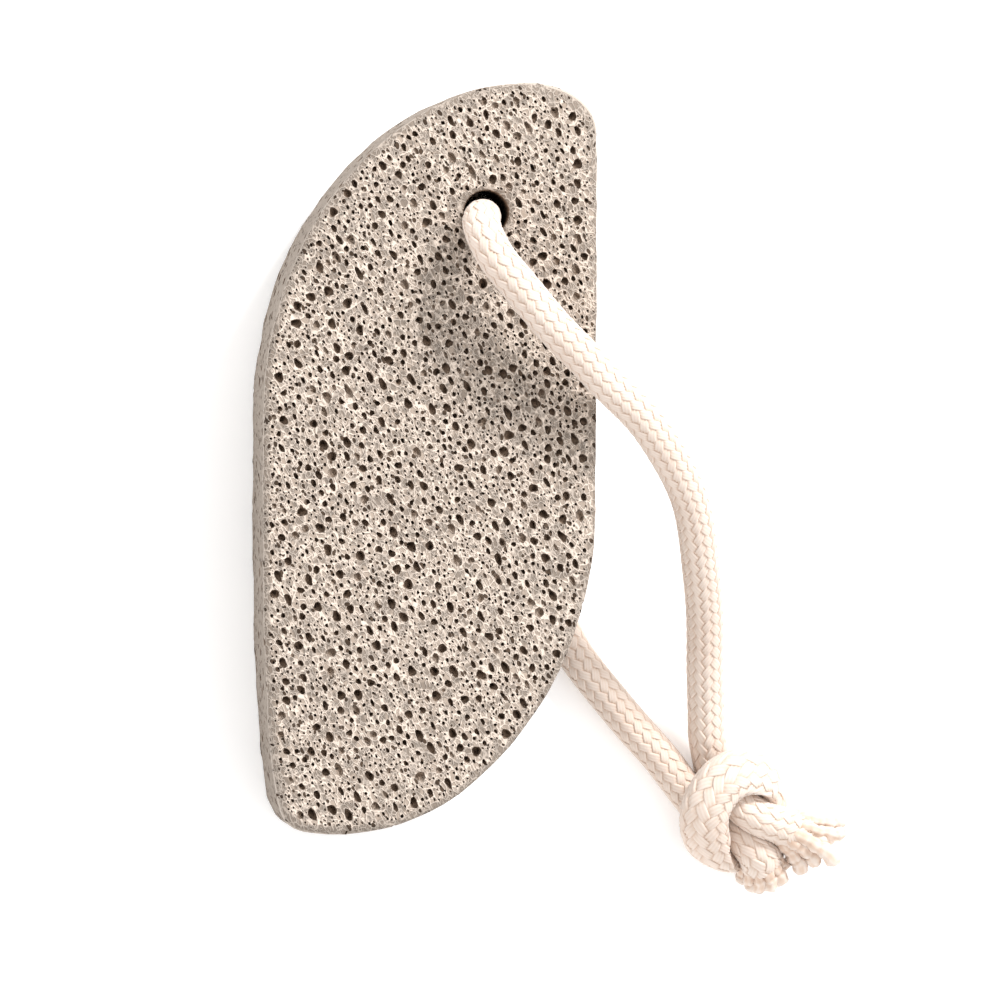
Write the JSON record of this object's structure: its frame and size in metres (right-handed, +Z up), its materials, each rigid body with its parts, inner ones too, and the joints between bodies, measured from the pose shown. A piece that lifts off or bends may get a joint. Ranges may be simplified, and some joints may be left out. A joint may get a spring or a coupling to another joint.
{
  "type": "pumice stone",
  "caption": "Half-moon slab of pumice for smoothing skin, with a hole near one end and a hanging loop of braided cotton rope, knotted, lying on its back face.",
  "frame": {"origin": "on the floor, under the middle of the stone's box", "axes": "+Y along the stone towards the end with the hole, +X across it towards the side where the rope comes down, +Z up from the floor"},
  "size_m": [0.1002, 0.13, 0.0422],
  "materials": {
    "pumice": "dry beige-grey rock full of dark pores with thin pale rims and fine slanted ridges",
    "cotton": "undyed cream cotton, round herringbone braid with a soft sheen, frayed where cut"
  },
  "bodies": {
    "root": {"stone": "pumice", "rope_front": "cotton", "rope_back": "cotton", "rope_knot": "cotton", "rope_end_long": "cotton", "rope_end_short": "cotton"}
  },
  "joints": []
}
